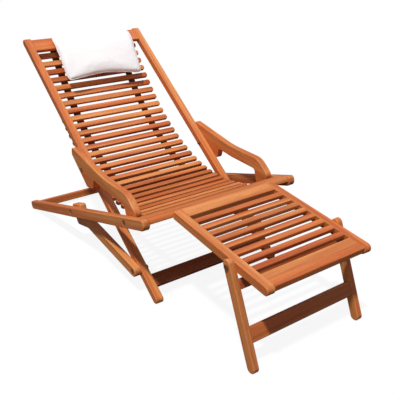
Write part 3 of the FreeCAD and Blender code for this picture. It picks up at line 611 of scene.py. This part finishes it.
# How far down the back the head board ends, and the least height of the cover on it and past it
BOARD_END = 92 * MM
OVER_BOARD = 1.5 * MM
OVER_SLATS = -44 * MM
# Power that flattens the pillow's faces and rounds its sides
FLATTEST = 0.45
# Share by which the cover's corners are cut back, and power that keeps that to the corners
CORNER_CUT = 0.05
CORNER_POWER = 6
# Thickness of the cover as it is sewn, before the filling
SEWN_THICKNESS = 8 * MM
# Distance between threads and depth of the creases, for the cover and for its piping
COVER_WEAVE = (0.7 * MM, 1.6 * MM)
PIPING_WEAVE = (1.1 * MM, 0.5 * MM)
# Repeats of the creases per metre, which run across the pillow
CREASE_REPEATS = (30, 16, 30)


def pillow_middle(run):
    """Point of the pillow's middle layer and the direction off it, by the distance down it."""
    spots = [Vector((along, rise)) * MM for along, rise in PILLOW_SAG]
    lengths = []
    line = []
    for step in range(PILLOW_STEPS + 1):
        share = step / PILLOW_STEPS * (len(spots) - 1)
        index = min(int(share), len(spots) - 2)
        part = share - index
        before = spots[max(index - 1, 0)]
        after = spots[min(index + 2, len(spots) - 1)]
        first, last = spots[index], spots[index + 1]
        line.append(0.5 * (2 * first + (last - before) * part
                           + (2 * before - 5 * first + 4 * last - after) * part ** 2
                           + (3 * first - before - 3 * last + after) * part ** 3))
        lengths.append(0 if step == 0 else lengths[-1] + (line[-1] - line[-2]).length)
    run = min(max(run, 0), lengths[-1])
    at = max(index for index in range(PILLOW_STEPS) if lengths[index] <= run)
    part = (run - lengths[at]) / (lengths[at + 1] - lengths[at])
    way = (line[at + 1] - line[at]).normalized()
    return line[at].lerp(line[at + 1], part), Vector((-way.y, way.x))


def pillow_border():
    """Grid places round the cover's seam, starting and ending at its first corner."""
    top = [(0, column) for column in range(PILLOW_COLUMNS)]
    left = [(row, PILLOW_COLUMNS) for row in range(PILLOW_ROWS)]
    foot = [(PILLOW_ROWS, column) for column in range(PILLOW_COLUMNS, 0, -1)]
    right = [(row, 0) for row in range(PILLOW_ROWS, 0, -1)]
    return top + left + foot + right


def grid_index(row, column):
    """Number of a vertex of the cover's upper layer."""
    return row * (PILLOW_COLUMNS + 1) + column


def pillow_cover(width, height, thickness):
    """Two layers of cloth sewn together round the border, slightly apart in the middle."""
    shell = bmesh.new()
    layers = {}
    for face in (1, -1):
        for row in range(PILLOW_ROWS + 1):
            for column in range(PILLOW_COLUMNS + 1):
                down = 2 * row / PILLOW_ROWS - 1
                across = 2 * column / PILLOW_COLUMNS - 1
                border = row in (0, PILLOW_ROWS) or column in (0, PILLOW_COLUMNS)
                if border and face < 0:
                    layers[face, row, column] = layers[1, row, column]
                    continue
                lift = thickness / 2 * ((1 - down ** 4) * (1 - across ** 4)) ** 0.5
                corner = 1 - CORNER_CUT * (down * across) ** CORNER_POWER
                spot = Vector((height / 2 * down * corner, width / 2 * across * corner, face * lift))
                layers[face, row, column] = shell.verts.new(spot)
    for face in (1, -1):
        for row in range(PILLOW_ROWS):
            for column in range(PILLOW_COLUMNS):
                ring = [layers[face, row, column], layers[face, row + 1, column],
                        layers[face, row + 1, column + 1], layers[face, row, column + 1]]
                shell.faces.new(ring if face > 0 else ring[::-1])
    bmesh.ops.recalc_face_normals(shell, faces=shell.faces)
    mesh = bpy.data.meshes.new("head_pillow_cover")
    shell.to_mesh(mesh)
    shell.free()
    return mesh


def fill_cover(piece, frames=20):
    """Blow the cover up as cloth and keep the result."""
    scene = bpy.context.scene
    cloth = piece.modifiers.new("filling", "CLOTH")
    cloth.settings.quality = 8
    cloth.settings.mass = 0.3
    cloth.settings.tension_stiffness = 40
    cloth.settings.compression_stiffness = 40
    cloth.settings.bending_stiffness = 3
    cloth.settings.use_pressure = True
    cloth.settings.uniform_pressure_force = 4
    cloth.settings.effector_weights.gravity = 0
    cloth.collision_settings.use_self_collision = False
    for step in range(1, frames + 1):
        scene.frame_set(step)
    graph = bpy.context.evaluated_depsgraph_get()
    filled = bpy.data.meshes.new_from_object(piece.evaluated_get(graph))
    piece.modifiers.clear()
    piece.data = filled
    scene.frame_set(1)


def lay_on_back(piece, flat_spots, settings):
    """Keep some of the gathers and bend the pillow over the head board and on to the slats."""
    spots = [vertex.co.copy() for vertex in piece.data.vertices]
    thick = max(spot.z for spot in spots) - min(spot.z for spot in spots)
    turn = Matrix.Rotation(settings.skew, 3, "Z")
    for vertex, spot, before in zip(piece.data.vertices, spots, flat_spots):
        flat = before.lerp(spot, settings.gather)
        fullness = abs(2 * spot.z / thick) ** FLATTEST
        flat.z = math.copysign(fullness, spot.z) * settings.thickness / 2
        flat.y *= 1 - settings.taper * 2 * flat.x / settings.height
        flat = turn @ flat
        droop = settings.foot_droop * (0.5 + flat.x / settings.height)
        droop += settings.top_droop * (0.5 - flat.x / settings.height)
        hang = droop * (2 * flat.y / settings.width) ** 2 - droop
        middle, off = pillow_middle(flat.x + hang + PILLOW_CENTRE)
        place = middle + off * flat.z
        lowest = OVER_BOARD if place.x < BOARD_END else OVER_SLATS
        place.y = max(place.y, lowest)
        vertex.co = (BACK_TOP + DOWN_BACK * place.x + OFF_BACK * place.y
                     + ACROSS * (flat.y + settings.offset))


def piping_cord(line, thickness, sides=8):
    """Round cord along a closed line of points."""
    shell = bmesh.new()
    rings = []
    for index, spot in enumerate(line):
        way = (line[(index + 1) % len(line)] - line[index - 1]).normalized()
        out = way.cross(OFF_BACK).normalized()
        up = out.cross(way)
        ring = []
        for side in range(sides):
            angle = 2 * math.pi * side / sides
            ring.append(shell.verts.new(
                spot + (out * math.cos(angle) + up * math.sin(angle)) * thickness / 2))
        rings.append(ring)
    for index, ring in enumerate(rings):
        before = rings[index - 1]
        for side in range(sides):
            after = (side + 1) % sides
            shell.faces.new((before[side], before[after], ring[after], ring[side]))
    bmesh.ops.recalc_face_normals(shell, faces=shell.faces)
    mesh = bpy.data.meshes.new("head_pillow_piping")
    shell.to_mesh(mesh)
    shell.free()
    return mesh


def pillow_cotton(name, tone, weave_sizes):
    """Cotton of one tone, with the given distance between threads and depth of soft creases."""
    settings = bpy.context.scene.chair_pillow
    pitch, crease = weave_sizes
    material, tree, shader = material_nodes(name)
    place = add(tree, "ShaderNodeTexCoord").outputs["Object"]
    mapping = add(tree, "ShaderNodeMapping")
    feed(tree, mapping, Vector=place, Rotation=(0, -math.radians(GRAIN_SLOPES["back_rail"]), 0))
    weave = place_group(
        tree, effect("Woven cloth", woven_cloth), Vector=mapping.outputs[0], Pitch=pitch,
        Thread_Tone=(*tone, 1), Gap_Tone=(*settings.shadow_tone, 1))
    creases = cloud(tree, stretch(tree, place, CREASE_REPEATS), 3, 0.5, 0.4)
    height = maths(tree, "ADD", maths(tree, "MULTIPLY", weave.outputs["Height"], 0.1), creases)
    feed(tree, shader, Base_Color=weave.outputs["Colour"], Roughness=weave.outputs["Roughness"],
         Sheen_Weight=0.1, Normal=bump(tree, height, crease))
    return material


def finish_soft(piece, material):
    """Round the piece off, dress it and hang it on the back."""
    for polygon in piece.data.polygons:
        polygon.use_smooth = True
    smooth = piece.modifiers.new("smooth", "SUBSURF")
    smooth.levels = 1
    smooth.render_levels = 1
    piece.data.materials.append(material)
    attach(piece, "back_frame")
    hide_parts("head_pillow")


class CHAIR_OT_pillow(bpy.types.Operator):
    """Sew, fill and lay the head pillow"""
    bl_idname = "chair.pillow"
    bl_label = "Make the head pillow"

    def execute(self, context):
        settings = context.scene.chair_pillow
        start = SEWN_THICKNESS
        piece = bpy.data.objects.new(
            "pillow", pillow_cover(settings.width, settings.height, start))
        context.scene.collection.objects.link(piece)
        flat_spots = [vertex.co.copy() for vertex in piece.data.vertices]
        fill_cover(piece)
        lay_on_back(piece, flat_spots, settings)
        seam = [piece.data.vertices[grid_index(*place)].co.copy() for place in pillow_border()]
        piping = bpy.data.objects.new("pillow_piping", piping_cord(seam, settings.piping))
        context.scene.collection.objects.link(piping)
        cover = pillow_cotton("pillow_cotton", settings.cloth_tone, COVER_WEAVE)
        finish_soft(piece, cover)
        cord = pillow_cotton("pillow_piping", settings.piping_tone, PIPING_WEAVE)
        finish_soft(piping, cord)
        return {"FINISHED"}


# Stage

# Distance from the middle of the floor to its sides, in metres, and share of it that glows
FLOOR_REACH = 12
FLOOR_GLOW = 0.9
# Direction that the sunlight comes from, and its spread in degrees
SUN_FROM = (0.2, -0.35, 1.0)
SUN_SPREAD = 4
# Size, place and target of the soft lights, in metres
FILL_LIGHT = (2.5, (2.0, -3.0, 1.6), (0, 0, 0.3))
SHEEN_LIGHT = (1.3, (-0.5, 0.9, 2.4), (-0.4, 0, 0.5))
# Place, target and radius in metres, beam in degrees and soft share of the front lamp
FRONT_FROM = (1.0, -0.4, 1.5)
FRONT_TO = (-0.47, 0, 0.64)
FRONT_RADIUS = 0.25
FRONT_BEAM = 24
FRONT_BLEND = 0.9
# Place of the camera in metres, its turn in degrees and its lens in millimetres
CAMERA_PLACE = (1.60276, -1.0602, 1.0925)
CAMERA_TURN = (65.3, 0, 54.3)
CAMERA_LENS = 53.72
CAMERA_SENSOR = 36


def studio_floor(settings):
    """Pale floor that a camera sees near white, with the chair's shadow on it."""
    mesh = bpy.data.meshes.new("studio_floor")
    corners = [(-FLOOR_REACH, -FLOOR_REACH, 0), (FLOOR_REACH, -FLOOR_REACH, 0),
               (FLOOR_REACH, FLOOR_REACH, 0), (-FLOOR_REACH, FLOOR_REACH, 0)]
    mesh.from_pydata(corners, [], [(0, 1, 2, 3)])
    floor = bpy.data.objects.new("studio_floor", mesh)
    bpy.context.scene.collection.objects.link(floor)
    material, tree, shader = material_nodes("studio_floor")
    seen = seen_directly(tree)
    bounce = (settings.floor_bounce,) * 3
    feed(tree, shader, Base_Color=mix_colour(tree, seen, bounce, settings.floor_tone),
         Roughness=0.9, Specular_IOR_Level=0.0)
    light = add(tree, "ShaderNodeEmission")
    feed(tree, light, Color=(1, 1, 1, 1), Strength=1.0)
    mix = add(tree, "ShaderNodeMixShader")
    feed(tree, mix, Fac=maths(tree, "MULTIPLY", seen, FLOOR_GLOW))
    tree.links.new(shader.outputs[0], mix.inputs[1])
    tree.links.new(light.outputs[0], mix.inputs[2])
    tree.links.new(mix.outputs[0], tree.nodes["Material Output"].inputs["Surface"])
    mesh.materials.append(material)


def seen_directly(tree):
    """1 for what the camera sees straight or through glass."""
    path = add(tree, "ShaderNodeLightPath")
    return maths(tree, "ADD", path.outputs["Is Camera Ray"], path.outputs["Is Transmission Ray"],
                 clamp=True)


def studio_world(settings):
    """Light from all round, in front of which the camera sees white."""
    world = bpy.data.worlds.new("studio")
    bpy.context.scene.world = world
    world.use_nodes = True
    tree = world.node_tree
    background = tree.nodes["Background"]
    seen = seen_directly(tree)
    lift = maths(tree, "MULTIPLY", seen, 1 - settings.ambient)
    feed(tree, background, Color=mix_colour(tree, seen, settings.ambient_tone, (1, 1, 1)),
         Strength=maths(tree, "ADD", lift, settings.ambient))


def aim(thing, place, target):
    """Put a lamp at a place and turn it to the target."""
    thing.location = place
    thing.rotation_euler = (Vector(target) - Vector(place)).to_track_quat("-Z", "Y").to_euler()


def studio_lights(settings):
    """Sunlight, two soft lamps and the lamp in front of the pillow."""
    key = bpy.data.lights.new("key", "SUN")
    key.energy = settings.key_power
    key.angle = math.radians(SUN_SPREAD)
    lamp = bpy.data.objects.new("key", key)
    aim(lamp, SUN_FROM, (0, 0, 0))
    bpy.context.scene.collection.objects.link(lamp)
    soft_lights = (
        ("fill", settings.fill_power, FILL_LIGHT),
        ("sheen", settings.sheen_power, SHEEN_LIGHT),
    )
    for name, power, (size, place, target) in soft_lights:
        light = bpy.data.lights.new(name, "AREA")
        light.energy = power
        light.size = size
        panel = bpy.data.objects.new(name, light)
        aim(panel, place, target)
        bpy.context.scene.collection.objects.link(panel)
    front = bpy.data.lights.new("front", "SPOT")
    front.energy = settings.front_power
    front.spot_size = math.radians(FRONT_BEAM)
    front.spot_blend = FRONT_BLEND
    front.shadow_soft_size = FRONT_RADIUS
    spot = bpy.data.objects.new("front", front)
    aim(spot, FRONT_FROM, FRONT_TO)
    bpy.context.scene.collection.objects.link(spot)


def studio_camera():
    """Camera at the place that the photograph was taken from."""
    camera = bpy.data.cameras.new("camera")
    camera.lens = CAMERA_LENS
    camera.sensor_width = CAMERA_SENSOR
    view = bpy.data.objects.new("camera", camera)
    view.location = CAMERA_PLACE
    view.rotation_euler = Euler([math.radians(angle) for angle in CAMERA_TURN])
    bpy.context.scene.collection.objects.link(view)
    bpy.context.scene.camera = view


class CHAIR_OT_studio(bpy.types.Operator):
    """Set up the floor, the lights and the camera"""
    bl_idname = "chair.studio"
    bl_label = "Set up the studio"

    def execute(self, context):
        settings = context.scene.chair_studio
        context.scene.view_settings.view_transform = "Standard"
        studio_floor(settings)
        studio_world(settings)
        studio_lights(settings)
        studio_camera()
        return {"FINISHED"}


# Panel and registration

class CHAIR_PT_sidebar(bpy.types.Panel):
    bl_idname = "CHAIR_PT_sidebar"
    bl_label = "Deck chair"
    bl_space_type = "VIEW_3D"
    bl_region_type = "UI"
    bl_category = "Deck chair"

    def draw(self, context):
        for step, settings in STEPS:
            self.layout.operator(step.bl_idname)
            group = getattr(context.scene, settings)
            for name in group.bl_rna.properties.keys():
                if name not in ("rna_type", "name"):
                    self.layout.prop(group, name)


STEPS = (
    (CHAIR_OT_rails, "chair_timber"),
    (CHAIR_OT_boards, "chair_timber"),
    (CHAIR_OT_slats, "chair_timber"),
    (CHAIR_OT_straps, "chair_webbing"),
    (CHAIR_OT_fasteners, "chair_fasteners"),
    (CHAIR_OT_pillow, "chair_pillow"),
    (CHAIR_OT_studio, "chair_studio"),
)
SETTINGS = (
    ("chair_timber", TimberSettings),
    ("chair_webbing", WebbingSettings),
    ("chair_fasteners", FastenerSettings),
    ("chair_pillow", PillowSettings),
    ("chair_studio", StudioSettings),
)


def register():
    for name, group in SETTINGS:
        bpy.utils.register_class(group)
        setattr(bpy.types.Scene, name, bpy.props.PointerProperty(type=group))
    for step, _ in STEPS:
        bpy.utils.register_class(step)
    bpy.utils.register_class(CHAIR_PT_sidebar)


def unregister():
    bpy.utils.unregister_class(CHAIR_PT_sidebar)
    for step, _ in reversed(STEPS):
        bpy.utils.unregister_class(step)
    for name, group in reversed(SETTINGS):
        delattr(bpy.types.Scene, name)
        bpy.utils.unregister_class(group)


def main():
    register()
    for step, _ in STEPS:
        family, name = step.bl_idname.split(".")
        getattr(getattr(bpy.ops, family), name)()


if __name__ == "__main__":
    main()
